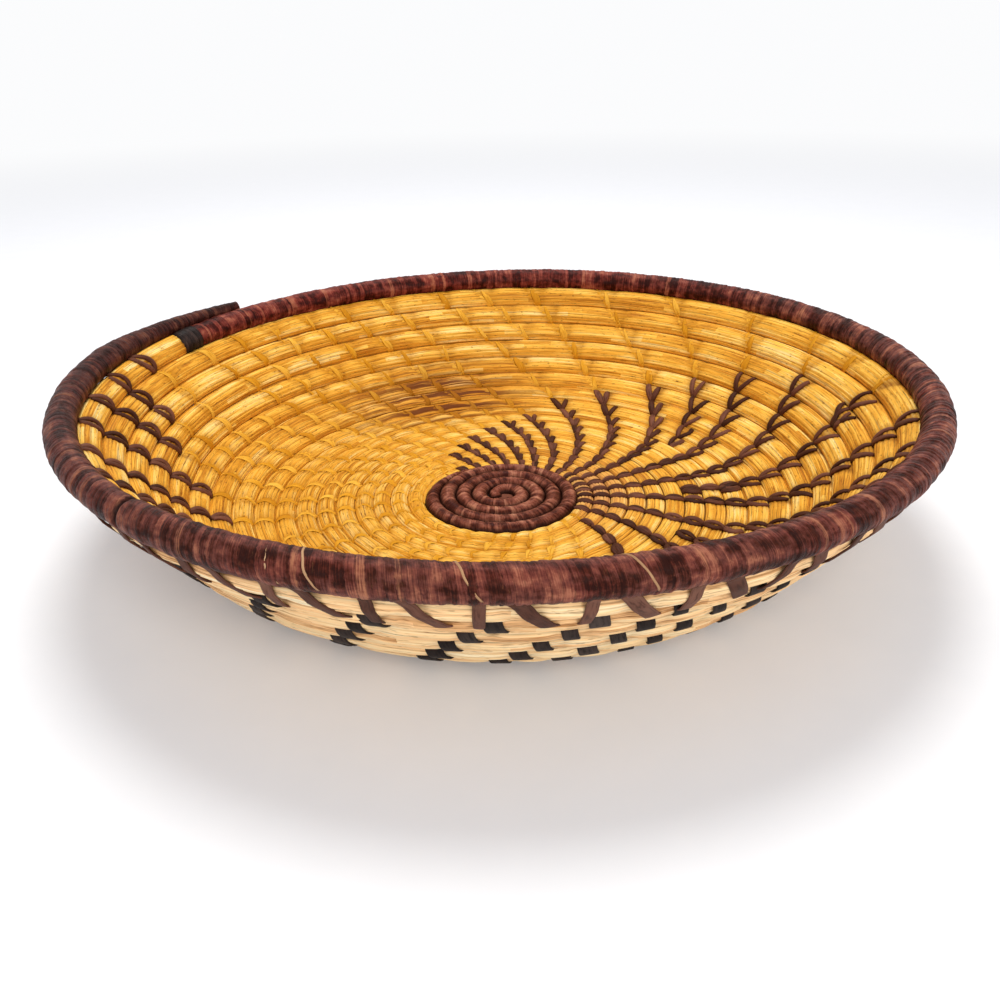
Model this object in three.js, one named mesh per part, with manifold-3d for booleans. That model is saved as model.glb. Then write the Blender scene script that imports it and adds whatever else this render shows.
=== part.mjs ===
// A shallow bowl of coiled basketry. One bundle of grass runs in a clockwise spiral from the
// centre of the base, up the wall and round the rim. A dark strip is wound over its first
// turns and another over its last one. Millimetres, +Z up, the bowl stands on z = 0.
import * as THREE from 'three';
import { mergeVertices } from 'three/addons/utils/BufferGeometryUtils.js';
import Module from 'manifold-3d';

const wasm = await Module();
wasm.setup();

// The shape of the bowl
const rimRadius = 145; // axis to the middle of the rim coil, mean of its one turn
const wallHeight = 51; // ground to the level of the rim coil, measured on the underside
const wallAngle = THREE.MathUtils.degToRad(51); // slope of the upper wall
const bendRadius = 50; // round between the base and the wall

// The coil, counted in turns from the axis
const firstTurn = 0.5; // where the bundle starts, half a row away from the axis
const centreTurns = 4.125; // turns wound with the dark strip
const strawTurns = 17; // rows of bare grass
const rimTurns = 1.046; // the rim, whose tail runs on over its own start
const centrePitch = 6.15; // row spacing in the centre, from where it grows to the rim
const rowGap = 0.46; // between neighbouring turns
const jointGap = 0.36; // between two lengths of coil that meet end to end
const stepsPerTurn = 24;
const spliceAzimuth = THREE.MathUtils.degToRad(161); // where bare grass gives way to the rim

// Sections of the coil
const strawFlatness = 0.78; // height of a bare row against its width
const centreHeight = 6; // of the wound centre coil
const footShare = 0.1; // of the coil's height, which the ground takes off its underside
const wrapThickness = 0.65; // of a wound strip
const wrapClearance = 0.3; // between a strip and what it goes round
const tailTurns = 0.09; // the end of the rim thins over this stretch
const tailSize = 0.42; // and comes down to this share of its section

// The long stitches that hold the rim down on the last bare row
const stitchesPerStep = 3;
const stitchWidth = 4.6;
const stitchThickness = 0.45;
const stitchSlant = 0.32; // of every other stitch, sideways for each mm down
const stitchTuck = 0.5; // share of the row's lower flank that a stitch covers

// A short binding over the splice, and the pale strips among the dark ones
const bindingLength = 11;
const stripWidth = 2.6;
const stripThickness = 0.5;
const stripTurns = [0.663, 0.705, 0.744, 0.7545]; // after the splice, from the front to the left

// Values that follow from these
const centreEnd = firstTurn + centreTurns;
const rimStart = centreEnd + strawTurns;
const rimEnd = rimStart + rimTurns;
const cornerRadius = rimRadius - wallHeight / Math.tan(wallAngle);
const baseRadius = cornerRadius - bendRadius * Math.tan(wallAngle / 2);
const bendLength = bendRadius * wallAngle;
const straightLength = wallHeight / Math.sin(wallAngle) - bendRadius * Math.tan(wallAngle / 2);
const profileLength = baseRadius + bendLength + straightLength;
const lastPitch = (profileLength - centrePitch * (centreEnd + strawTurns / 2)) / (strawTurns / 2 + 0.5);

// The profile of the underside: flat, round, straight
function profileAt(length) {
  if (length < baseRadius) {
    return { radius: length, level: 0, slope: 0 };
  }
  const slope = Math.min((length - baseRadius) / bendRadius, wallAngle);
  const beyond = Math.max(length - baseRadius - bendLength, 0);
  return {
    radius: baseRadius + bendRadius * Math.sin(slope) + beyond * Math.cos(slope),
    level: bendRadius * (1 - Math.cos(slope)) + beyond * Math.sin(slope),
    slope,
  };
}

// Row spacing at a turn, and the distance of the coil from the axis along the profile
function pitchAt(turn) {
  const rows = THREE.MathUtils.clamp(turn - centreEnd, 0, strawTurns);
  return centrePitch + (lastPitch - centrePitch) * rows / strawTurns;
}

function lengthAt(turn) {
  const rows = THREE.MathUtils.clamp(turn - centreEnd, 0, strawTurns);
  const growth = (lastPitch - centrePitch) * rows * rows / (2 * strawTurns);
  const beyond = Math.max(turn - rimStart, 0);
  return centrePitch * Math.min(turn, rimStart) + growth + lastPitch * beyond;
}

function turnAtLength(length) {
  let low = centreEnd;
  let high = rimStart;
  while (high - low > 1e-6) {
    const middle = (low + high) / 2;
    if (lengthAt(middle) < length) low = middle;
    else high = middle;
  }
  return low;
}

const rowWidth = (turn) => pitchAt(turn) - rowGap;
const strawHeight = (turn) => strawFlatness * rowWidth(turn);
const wrapBuild = 2 * (wrapClearance + wrapThickness);

// Outer size of the coil at a turn. The rim stands proud of the rows by its wrap. Its tail
// thins and settles against the row below it.
function coilSize(turn, kind) {
  const tail = THREE.MathUtils.clamp((rimEnd - turn) / tailTurns, 0, 1);
  const thin = kind === 'rim' ? tailSize + (1 - tailSize) * tail : 1;
  const heights = { centre: centreHeight, straw: strawHeight(turn), rim: strawHeight(turn) + wrapBuild };
  const width = rowWidth(turn) * thin;
  return { width, height: heights[kind] * thin, settle: (rowWidth(turn) - width) / 2 };
}

// A point beside the spiral: up the profile by "along", into the bowl by "inward", and no
// lower than "floor", so that the rows of the base are flat where they stand
function spiralPoint(turn, kind, along, inward, floor) {
  const { radius, level, slope } = profileAt(lengthAt(turn));
  const lift = (0.5 - footShare) * (kind === 'centre' ? centreHeight : strawHeight(turn));
  const azimuth = spliceAzimuth - 2 * Math.PI * (turn - rimStart);
  const out = radius + along * Math.cos(slope) - inward * Math.sin(slope);
  const up = level + lift + along * Math.sin(slope) + inward * Math.cos(slope);
  return new THREE.Vector3(out * Math.cos(azimuth), out * Math.sin(azimuth), Math.max(up, floor));
}

// The same on the straight stretches between the 24 azimuths at which the coil has its sections
function pointAt(turn, kind, along, inward, floor = 0) {
  const step = Math.floor((turn - rimStart) * stepsPerTurn + 1e-6);
  const from = rimStart + step / stepsPerTurn;
  const to = from + 1 / stepsPerTurn;
  const start = spiralPoint(from, kind, along, inward, floor);
  return start.lerp(spiralPoint(to, kind, along, inward, floor), (turn - from) / (to - from));
}

// Six corners of a section: two on the flanks, two inside the bowl, two outside
function hexagon(width, height) {
  return [
    [width / 2, 0],
    [width / 4, height / 2],
    [-width / 4, height / 2],
    [-width / 2, 0],
    [-width / 4, -height / 2],
    [width / 4, -height / 2],
  ];
}

function ringAt(turn, kind, inset) {
  const { width, height, settle } = coilSize(turn, kind);
  const corners = hexagon(width - 2 * inset, height - 2 * inset);
  return corners.map(([along, inward]) => pointAt(turn, kind, along - settle, inward, inset));
}

// The share of a turn that a distance along the coil takes up
const turnsFor = (distance, turn) => distance / (2 * Math.PI * profileAt(lengthAt(turn)).radius);

// The turns at which a length of coil has its sections
function stationsBetween(from, to) {
  const trim = (turn) => turnsFor(jointGap / 2, turn);
  const stations = [from + trim(from)];
  const first = Math.floor((from - rimStart) * stepsPerTurn + 0.1) + 1;
  for (let step = first; rimStart + step / stepsPerTurn < to - 0.1 / stepsPerTurn; step += 1) {
    stations.push(rimStart + step / stepsPerTurn);
  }
  stations.push(to - trim(to));
  return stations;
}

// Closed bodies are gathered as quads of points, which mergeVertices then joins
function bodyFrom(quads) {
  const numbers = [];
  for (const [a, b, c, d] of quads) {
    for (const point of [a, b, c, a, c, d]) numbers.push(point.x, point.y, point.z);
  }
  const geometry = new THREE.BufferGeometry();
  geometry.setAttribute('position', new THREE.Float32BufferAttribute(numbers, 3));
  return mergeVertices(geometry, 1e-4);
}

function sideQuads(rings, inside) {
  const quads = [];
  for (let i = 0; i + 1 < rings.length; i += 1) {
    rings[i].forEach((corner, k) => {
      const next = (k + 1) % rings[i].length;
      const quad = [corner, rings[i + 1][k], rings[i + 1][next], rings[i][next]];
      quads.push(inside ? quad : quad.reverse());
    });
  }
  return quads;
}

// A solid length of coil
function bundleGeometry(stations, kind, inset) {
  const rings = stations.map((turn) => ringAt(turn, kind, inset));
  const capQuads = (ring) => [[ring[0], ring[1], ring[2], ring[3]], [ring[0], ring[3], ring[4], ring[5]]];
  const startCap = capQuads([...rings[0]].reverse());
  const endCap = capQuads(rings.at(-1));
  return bodyFrom([...sideQuads(rings, false), ...startCap, ...endCap]);
}

// A strip wound round a length of coil, as a sleeve with open ends
function sleeveGeometry(stations, kind) {
  const outer = stations.map((turn) => ringAt(turn, kind, 0));
  const inner = stations.map((turn) => ringAt(turn, kind, wrapThickness));
  const endQuads = (outside, inside) => outside.map((corner, k) => {
    const next = (k + 1) % outside.length;
    return [corner, outside[next], inside[next], inside[k]];
  });
  const startFace = endQuads(inner[0], outer[0]);
  const endFace = endQuads(outer.at(-1), inner.at(-1));
  return bodyFrom([...sideQuads(outer, false), ...sideQuads(inner, true), ...startFace, ...endFace]);
}

// One long stitch: a flat strip that leaves the rim's wrap, crosses the row below it on the
// outside and turns in over that row's lower flank
function stitchGeometry(turn, slant) {
  const row = turn - 1;
  const lift = wrapClearance + (wrapThickness - stitchThickness) / 2;
  const quarter = rowWidth(row) / 4;
  const face = strawHeight(row) / 2;
  const { height, settle } = coilSize(turn, 'rim');
  const levels = [
    { on: turn, kind: 'rim', along: -settle, near: height / 2 - wrapThickness - wrapClearance + lift, down: 0 },
    { on: row, kind: 'straw', along: quarter, near: face + lift, down: pitchAt(row) - quarter },
    { on: row, kind: 'straw', along: -quarter, near: face + lift, down: pitchAt(row) + quarter },
    {
      on: row,
      kind: 'straw',
      along: -(1 + stitchTuck) * quarter,
      near: (1 - stitchTuck) * face + lift,
      down: pitchAt(row) + (1 + stitchTuck) * quarter,
    },
  ];
  const rings = levels.map(({ on, kind, along, near, down }) => {
    const left = on + turnsFor(slant * (down - pitchAt(row)) - stitchWidth / 2, on);
    const right = left + turnsFor(stitchWidth, on);
    return [
      pointAt(left, kind, along, -near),
      pointAt(right, kind, along, -near),
      pointAt(right, kind, along, -near - stitchThickness),
      pointAt(left, kind, along, -near - stitchThickness),
    ];
  });
  const end = [...rings.at(-1)].reverse();
  return bodyFrom([...sideQuads(rings, true), rings[0], end]);
}

// A pale strip: an open band over the rim that stops short of the row below
function paleStripGeometry(turn) {
  const { width, height } = coilSize(turn, 'rim');
  const outline = (offset) => {
    const [apex, innerTop, innerLow, , outerLow, outerTop] = hexagon(width + 2 * offset, height + 2 * offset);
    return [innerLow, innerTop, apex, outerTop, outerLow];
  };
  const near = outline(wrapClearance);
  const far = outline(wrapClearance + stripThickness);
  const start = turn - turnsFor(stripWidth / 2, turn);
  const end = turn + turnsFor(stripWidth / 2, turn);
  const rings = near.map((corner, k) => [
    pointAt(start, 'rim', ...corner),
    pointAt(end, 'rim', ...corner),
    pointAt(end, 'rim', ...far[k]),
    pointAt(start, 'rim', ...far[k]),
  ]);
  const endFace = [...rings.at(-1)].reverse();
  return bodyFrom([...sideQuads(rings, true), rings[0], endFace]);
}

// Joining of closed bodies
function toSolid(geometry) {
  return new wasm.Manifold(new wasm.Mesh({
    numProp: 3,
    vertProperties: new Float32Array(geometry.attributes.position.array),
    triVerts: new Uint32Array(geometry.index.array),
  }));
}

function joined(geometries) {
  let solid = toSolid(geometries[0]);
  for (const geometry of geometries.slice(1)) solid = solid.add(toSolid(geometry));
  const { vertProperties, triVerts } = solid.getMesh();
  const result = new THREE.BufferGeometry();
  result.setAttribute('position', new THREE.BufferAttribute(new Float32Array(vertProperties), 3));
  result.setIndex([...triVerts]);
  return result;
}

// The least distance of a coil to its own next turn, on points along both flanks
function leastGap(stations, kind) {
  let least = Infinity;
  const shares = [0, 0.25, 0.5, 0.75];
  const flankPoint = (turn, share, side) => {
    const next = turn + 1 / stepsPerTurn;
    const near = pointAt(turn, kind, side * coilSize(turn, kind).width / 2, 0);
    return near.lerp(pointAt(next, kind, side * coilSize(next, kind).width / 2, 0), share);
  };
  for (const turn of stations.slice(1, -2)) {
    if (turn + 1 + 1 / stepsPerTurn > stations.at(-1)) break;
    for (const a of shares) {
      for (const b of shares) {
        least = Math.min(least, flankPoint(turn, a, 1).distanceTo(flankPoint(turn + 1, b, -1)));
      }
    }
  }
  return least;
}

// Finishes
const straw = { color: 0xd8a75a, roughness: 0.7, metalness: 0 };
const innerGrass = { color: 0xb98d4c, roughness: 0.85, metalness: 0 };
const redBrown = { color: 0x4a211c, roughness: 0.5, metalness: 0 };
const charcoal = { color: 0x2b2422, roughness: 0.6, metalness: 0 };
const cream = { color: 0xcaa279, roughness: 0.6, metalness: 0 };

const bowl = new THREE.Group();

function addPart(name, geometry, finish) {
  const mesh = new THREE.Mesh(geometry, new THREE.MeshStandardMaterial(finish));
  mesh.name = name;
  bowl.add(mesh);
}

// Where the floor of the bowl turns up, where its wall is straight, and where the rim's wrap begins
const nearestStep = (turn) => rimStart - Math.round((rimStart - turn) * stepsPerTurn) / stepsPerTurn;
const bendStart = nearestStep(turnAtLength(baseRadius));
const wallStart = nearestStep(turnAtLength(baseRadius + bendLength));
const wrapStart = rimStart + turnsFor(bindingLength, rimStart);

const centreStations = stationsBetween(firstTurn, centreEnd);
const baseStations = stationsBetween(centreEnd, bendStart);
const bendStations = stationsBetween(bendStart, wallStart);
const wallStations = stationsBetween(wallStart, rimStart);
const rimStations = stationsBetween(rimStart, rimEnd);
const coreInset = wrapThickness + wrapClearance;

addPart('centre_core', bundleGeometry(centreStations, 'centre', coreInset), innerGrass);
addPart('centre_wrap', sleeveGeometry(centreStations, 'centre'), redBrown);
addPart('base_coil', bundleGeometry(baseStations, 'straw', 0), straw);
addPart('bend_coil', bundleGeometry(bendStations, 'straw', 0), straw);
addPart('wall_coil', bundleGeometry(wallStations, 'straw', 0), straw);
addPart('rim_core', bundleGeometry(rimStations, 'rim', coreInset), innerGrass);
addPart('rim_splice_binding', sleeveGeometry(stationsBetween(rimStart, wrapStart), 'rim'), charcoal);

const stitches = [];
const stitchCount = stitchesPerStep * (stepsPerTurn - 1);
for (let k = 0; k < stitchCount; k += 1) {
  const turn = rimStart + (1 + (k + 0.5) / stitchesPerStep) / stepsPerTurn;
  stitches.push(stitchGeometry(turn, k % 2 === 0 ? stitchSlant : 0));
}
const wrapSleeve = sleeveGeometry(stationsBetween(wrapStart, rimEnd), 'rim');
addPart('rim_wrap', joined([wrapSleeve, ...stitches]), redBrown);

stripTurns.forEach((turn, k) => {
  addPart(`pale_rim_strip_${k + 1}`, paleStripGeometry(rimStart + turn), cream);
});

const coils = [
  ['centre coil', centreStations, 'centre'],
  ['base coil', baseStations, 'straw'],
  ['bend coil', bendStations, 'straw'],
  ['wall coil', wallStations, 'straw'],
];
for (const [name, stations, kind] of coils) {
  console.log(`${name}: least gap to itself ${leastGap(stations, kind).toFixed(2)} mm`);
}

// The bowl stands on z = 0 with the middle of its outline over the origin
const outline = new THREE.Box3().setFromObject(bowl);
const middle = outline.getCenter(new THREE.Vector3());
bowl.position.set(-middle.x, -middle.y, -outline.min.z);

export default bowl;
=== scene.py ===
# %% [markdown]
# # A coiled basket bowl
#
# The bowl is one long bundle of grass, laid in a spiral and sewn to itself. A dark strip is wound
# round its first turns and round its last one. This lesson dresses the plain CAD bowl: separate
# stems, split stitches and wound strips, each made as a mesh of its own in the place of its CAD
# node. The first cell loads the CAD bowl, which gives every size and place.

# %% Load the frame
import math

import bpy
import numpy as np
from mathutils import Matrix, Vector


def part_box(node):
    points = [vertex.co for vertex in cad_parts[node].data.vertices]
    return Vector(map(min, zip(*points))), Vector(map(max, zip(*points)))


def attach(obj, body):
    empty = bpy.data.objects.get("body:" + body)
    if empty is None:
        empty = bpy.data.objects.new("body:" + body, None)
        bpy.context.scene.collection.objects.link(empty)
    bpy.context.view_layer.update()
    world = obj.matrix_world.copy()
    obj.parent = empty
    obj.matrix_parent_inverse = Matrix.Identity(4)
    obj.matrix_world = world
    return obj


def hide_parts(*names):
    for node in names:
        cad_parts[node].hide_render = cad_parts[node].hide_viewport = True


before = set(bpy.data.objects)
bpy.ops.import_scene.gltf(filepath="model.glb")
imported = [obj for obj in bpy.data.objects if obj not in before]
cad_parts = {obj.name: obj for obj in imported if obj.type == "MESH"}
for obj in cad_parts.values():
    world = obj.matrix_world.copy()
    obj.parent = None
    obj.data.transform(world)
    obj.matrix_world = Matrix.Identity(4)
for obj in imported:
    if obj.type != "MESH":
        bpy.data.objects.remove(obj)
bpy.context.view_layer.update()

print("CAD nodes:", ", ".join(sorted(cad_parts)))

# %% [markdown]
# ## The spiral
#
# A basket maker thinks of rows. Here a row is a turn of the spiral, counted from the axis, so a
# place on the bowl is a turn, a distance up the bowl from the middle of the row, and a distance
# into the bowl. The profile under the rows is flat, then round, then straight. One function turns
# those three numbers into a point, so that each later piece can be described along the coil,
# which is far easier than in x, y and z. Lengths are in millimetres until a mesh is made.

# %% Sizes of the bowl, in millimetres
RIM_RADIUS = 145
WALL_HEIGHT = 51
WALL_ANGLE = math.radians(51)
BEND_RADIUS = 50
FIRST_TURN = 0.5
CENTRE_END = 4.625
RIM_START = 21.625
RIM_END = 22.671
CENTRE_PITCH = 6.15
STRAW_ROWS = RIM_START - CENTRE_END
SPLICE_AZIMUTH = math.radians(161)
STRAW_FLATNESS = 0.78
CENTRE_HEIGHT = 6
FOOT_SHARE = 0.1
STITCH_CLEARANCE = 0.35
LOWEST_POINT = 0.05
OUTER_BULGE = 2.0
ROW_GAP = 0.46
ROW_OVERLAP = 0.16
RIM_THICKER = 1.9

rim_length = 2 * math.pi * RIM_RADIUS
corner_radius = RIM_RADIUS - WALL_HEIGHT / math.tan(WALL_ANGLE)
base_radius = corner_radius - BEND_RADIUS * math.tan(WALL_ANGLE / 2)
bend_length = BEND_RADIUS * WALL_ANGLE
wall_length = WALL_HEIGHT / math.sin(WALL_ANGLE) - BEND_RADIUS * math.tan(WALL_ANGLE / 2)
profile_length = base_radius + bend_length + wall_length
last_pitch = (profile_length - CENTRE_PITCH * (CENTRE_END + STRAW_ROWS / 2)) / (STRAW_ROWS / 2 + 0.5)
print(f"rows grow from {CENTRE_PITCH} to {last_pitch:.2f} mm")


# %% From a turn to a point
def row_pitch(turn):
    rows = np.clip(turn - CENTRE_END, 0, STRAW_ROWS)
    return CENTRE_PITCH + (last_pitch - CENTRE_PITCH) * rows / STRAW_ROWS


def reach(turn):
    """Distance of the coil from the axis, along the profile."""
    rows = np.clip(turn - CENTRE_END, 0, STRAW_ROWS)
    growth = (last_pitch - CENTRE_PITCH) * rows**2 / (2 * STRAW_ROWS)
    return CENTRE_PITCH * np.minimum(turn, RIM_START) + growth + last_pitch * np.maximum(turn - RIM_START, 0)


def profile(length):
    slope = np.clip((length - base_radius) / BEND_RADIUS, 0, WALL_ANGLE)
    beyond = np.maximum(length - base_radius - bend_length, 0)
    curved = base_radius + BEND_RADIUS * np.sin(slope) + beyond * np.cos(slope)
    radius = np.where(length < base_radius, length, curved)
    level = BEND_RADIUS * (1 - np.cos(slope)) + beyond * np.sin(slope)
    return radius, level, slope


def row_height(turn):
    return STRAW_FLATNESS * (row_pitch(turn) - ROW_GAP)


def azimuth_at(turn):
    return SPLICE_AZIMUTH - 2 * math.pi * (turn - RIM_START)


def radius_at(turn):
    return profile(reach(turn))[0]


def directions(turn):
    """Unit vectors up the bowl and into the bowl."""
    azimuth, slope = azimuth_at(turn), profile(reach(turn))[2]
    outward = np.stack([np.cos(azimuth), np.sin(azimuth), np.zeros_like(azimuth)], -1)
    upward = np.array([0.0, 0.0, 1.0])
    climb = outward * np.cos(slope)[..., None] + upward * np.sin(slope)[..., None]
    inward = upward * np.cos(slope)[..., None] - outward * np.sin(slope)[..., None]
    return climb, inward


# %% The point beside the spiral
axis_place = np.array([0.0, 0.0, 0.0])


def on_coil(turn, along, inside, height=None):
    """A point: along up the bowl from the row's middle, inside towards the hollow."""
    turn, along, inside = np.broadcast_arrays(np.asarray(turn, float), along, inside)
    radius, level, slope = profile(reach(turn))
    azimuth = azimuth_at(turn)
    lift = (0.5 - FOOT_SHARE) * (row_height(turn) if height is None else height)
    out = radius + along * np.cos(slope) - inside * np.sin(slope)
    up = np.maximum(level + lift + along * np.sin(slope) + inside * np.cos(slope), STITCH_CLEARANCE)
    return np.stack([out * np.cos(azimuth), out * np.sin(azimuth), up], -1) + axis_place


# The last bare rows show where the CAD bowl's axis lies, from the ends of four radii
wall_low, wall_high = np.array(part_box("wall_coil")) * 1000
turns = np.linspace(RIM_START - 4, RIM_START, 97)
flank = on_coil(turns, (row_pitch(turns) - ROW_GAP) / 2, 0.0)
axis_place[:2] = ((wall_low + wall_high) / 2 - (flank.min(0) + flank.max(0)) / 2)[:2]
print("axis of the coil at", axis_place.round(2), "mm")

# %% [markdown]
# ## Meshes from rings
#
# Stems, strips and windings are all the same kind of mesh: rings of points, one after another
# along a path. Blender could sweep a curve, but then the ring could not change from place to
# place, as it has to where a stitch draws the grass in. So the rings are worked out as arrays and
# the faces are written straight into the mesh. Two numbers are kept at each point, the distance
# along the coil and round the ring, because the finishes later draw their fibres along them.
# A ring is a circle whose sine and cosine are bent a little, which makes it a rounded oblong.


# %% Closed bodies swept through rings
def swept(name, bodies, coil, **values):
    """Bodies from an array of (bodies, rings, points, 3), with coil places and values at the points."""
    number, count, size, _ = bodies.shape
    point = np.arange(size)
    start = np.arange(count - 1)[:, None] * size
    first, second = (start + point).ravel(), (start + (point + 1) % size).ravel()
    quads = np.stack([first, second, second + size, first + size], -1)
    caps = np.stack([point[::-1], (count - 1) * size + point])
    shift = (np.arange(number) * count * size)[:, None, None]
    corners = np.concatenate([(quads + shift).ravel(), (caps + shift).ravel()])
    sides = np.repeat([4, size], [number * len(quads), number * 2])
    mesh = bpy.data.meshes.new(name)
    mesh.vertices.add(number * count * size)
    mesh.vertices.foreach_set("co", (bodies / 1000).ravel())
    mesh.loops.add(len(corners))
    mesh.loops.foreach_set("vertex_index", corners.astype(np.int32))
    mesh.polygons.add(len(sides))
    mesh.polygons.foreach_set("loop_start", (np.cumsum(sides) - sides).astype(np.int32))
    mesh.update(calc_edges=True)
    mesh.polygons.foreach_set("use_smooth", np.ones(len(sides), bool))
    values["coil"] = np.stack(np.broadcast_arrays(*coil, bodies[..., 0])[:3], -1)
    for key, value in values.items():
        kind, member = ("FLOAT_VECTOR", "vector") if key == "coil" else ("FLOAT", "value")
        value = np.broadcast_to(value, bodies.shape if key == "coil" else bodies.shape[:3])
        mesh.attributes.new(key, kind, "POINT").data.foreach_set(member, value.astype(np.float32).ravel())
    piece = bpy.data.objects.new(name, mesh)
    bpy.context.scene.collection.objects.link(piece)
    return piece


# %% Oblong rings, soft bells, and a piece in its place
def oblong(angle, squareness):
    """A bent cosine and sine: 2 leaves the ring round, and more makes it squarer."""
    return [np.sign(wave) * np.abs(wave) ** (2 / squareness) for wave in (np.cos(angle), np.sin(angle))]


def bell(distance, width):
    """1 in the middle, and softly less away from it."""
    return np.exp(-((distance / width) ** 2))


def put_in_place(piece, slot, *nodes):
    """The piece stands for its CAD nodes and rides on the bowl's one body. The slot is not used."""
    for node in nodes:
        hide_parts(node)
    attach(piece, "root")
    print(piece.name, "has", len(piece.data.polygons), "faces")
    return piece


# %% [markdown]
# ## Chains of stitches
#
# Each stitch pierces the one below it, so stitches line up in chains that run outwards over the
# bowl. The chains aren't straight: they lean with or against the clock, by a few degrees a row,
# and not everywhere the same. Where two chains spread too far apart the maker starts a new one
# between them, and where they crowd, one ends. That is what the loop below does, row by row.
# The drawn-in grass and every sort of stitch read the same table, which keeps them together.

# %% How far a chain leans in a row
rng = np.random.default_rng(11)
LEAN_AZIMUTHS = [-60, -45, -30, -15, 0, 15, 30, 60, 90, 120, 180, 200, 240, 300]
LEAN_NEAR_DISC = [-4.5, -4.0, -2.8, -1.1, 0, 0.8, 2.0, 4.4, 4.0, 3.0, 1.0, 0.0, -1.0, -4.5]
LEAN_ON_WALL = [2.0, 0.5, -0.8, -1.2, -0.3, 0.9, 1.8, 3.8, 4.1, 3.5, 1.2, 1.5, 2.7, 2.6]
LEAN_CHANGES = 5
SPACING_ROWS, SPACING_DEGREES = [0, 8, 13, 17], [13.3, 13.0, 11.2, 10.4]
NET_AZIMUTH, NET_SPREAD = 5, 48
NET_CLOSER, NET_CLOSER_AT_DISC = 0.36, 0.42
LEFT_AZIMUTH, LEFT_SPREAD, LEFT_CLOSER = 210, 24, 0.34


def chain_lean(azimuth, row):
    turned = (azimuth + 60) % 360 - 60
    near = np.interp(turned, LEAN_AZIMUTHS, LEAN_NEAR_DISC, period=360)
    wall = np.interp(turned, LEAN_AZIMUTHS, LEAN_ON_WALL, period=360)
    return near + (wall - near) * np.clip((row - LEAN_CHANGES) / LEAN_CHANGES, 0, 1)


def chain_spacing(row, azimuth, closer=NET_CLOSER):
    """Degrees between neighbouring chains: closer near the disc on the right and on the left wall."""
    turned = (azimuth + 180) % 360 - 180
    near_disc = closer * bell(turned - NET_AZIMUTH, NET_SPREAD) * np.clip((13 - row) / 5, 0, 1)
    left_wall = bell(azimuth % 360 - LEFT_AZIMUTH, LEFT_SPREAD) * np.clip((row - 7) / 3, 0, 1)
    return np.interp(row, SPACING_ROWS, SPACING_DEGREES) * (1 - near_disc - LEFT_CLOSER * left_wall)


# %% The table of chains: an azimuth in degrees for each chain and row
CHAIN_START = 96.8
TABLE_ROWS = np.arange(-1, 20)
EVENING, WOBBLE = 0.18, 0.35
CROWDED, ROOMY = 0.62, 1.5
first_azimuths = [CHAIN_START]
while first_azimuths[-1] < CHAIN_START + 360:
    first_azimuths.append(first_azimuths[-1] + chain_spacing(0, first_azimuths[-1], NET_CLOSER_AT_DISC))
first_azimuths = np.array(first_azimuths)
first_azimuths = CHAIN_START + (first_azimuths - CHAIN_START) * 360 / (first_azimuths[-1] - CHAIN_START)
chains = [{-1: azimuth} for azimuth in first_azimuths[:-1]]
for row in TABLE_ROWS[1:]:
    living = [chain for chain in chains if row - 1 in chain]
    living.sort(key=lambda chain: chain[row - 1] % 360)
    angle = np.array([chain[row - 1] for chain in living])
    gap = (np.roll(angle, -1) - angle) % 360
    back = np.roll(gap, 1)
    moved = angle + chain_lean(angle, row) + EVENING * (gap - back) / 2 + rng.normal(0, WOBBLE, len(angle))
    after = (np.roll(moved, -1) - moved) % 360
    room = chain_spacing(row, moved)
    keep_last = True
    for k, chain in enumerate(living):
        crowded = after[k] < CROWDED * room[k] and keep_last
        keep_last = not crowded
        if not crowded:
            chain[row] = moved[k]
        if after[k] > ROOMY * room[k]:
            chains.append({row: moved[k] + after[k] / 2})
chain_table = np.full((len(TABLE_ROWS), len(chains)), np.nan)
for number, chain in enumerate(chains):
    for row, azimuth in chain.items():
        chain_table[row + 1, number] = azimuth
print(len(chains), "chains, of which", int(np.isfinite(chain_table[-3]).sum()), "reach the rim")


def chain_azimuths(place):
    """Azimuth in radians of every chain at a place across the rows, and NaN where it isn't."""
    step = np.clip(np.asarray(place, float) - CENTRE_END + 1, 0, len(TABLE_ROWS) - 1.001)
    low = step.astype(int)
    part = (step - low)[..., None]
    return np.radians(chain_table[low] * (1 - part) + chain_table[low + 1] * part)


def chain_room(turn):
    """Room for one stitch along the coil, in millimetres."""
    return np.radians(chain_spacing(turn - CENTRE_END, np.degrees(azimuth_at(turn)))) * radius_at(turn)


# %% Where each chain crosses each row
STITCH_REACH = 0.52


def crossing(shift):
    return np.stack([np.diagonal(chain_azimuths(row + shift)) for row in stitch_turn])


rounds = np.arange(-20, 3)[:, None]
stitch_turn = np.broadcast_to(rounds + RIM_START, (len(rounds), len(chains))).astype(float)
for _ in range(30):
    stitch_turn = RIM_START + (SPLICE_AZIMUTH - np.nan_to_num(crossing(-0.5))) / (2 * math.pi) + rounds
live = (stitch_turn > CENTRE_END + 0.05) & (stitch_turn < RIM_START - 0.006)
live &= np.isfinite(crossing(-0.5)) & np.isfinite(crossing(0.5))
stitch_chain = np.broadcast_to(np.arange(len(chains)), stitch_turn.shape)[live]
stitch_turn = stitch_turn[live]
chain_first = np.full(len(chains), np.inf)
chain_last = np.full(len(chains), -np.inf)
np.minimum.at(chain_first, stitch_chain, stitch_turn - STITCH_REACH)
np.maximum.at(chain_last, stitch_chain, stitch_turn + STITCH_REACH)
print(len(stitch_turn), "stitches")

# %% [markdown]
# ## Which stitches are dark
#
# The dark stitches form a swirl: a region that starts round the right half of the disc and
# turns with the clock as it widens. Its two edges were read off as azimuths at a few rows, and
# a stitch is dark when it lies between them.

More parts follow.
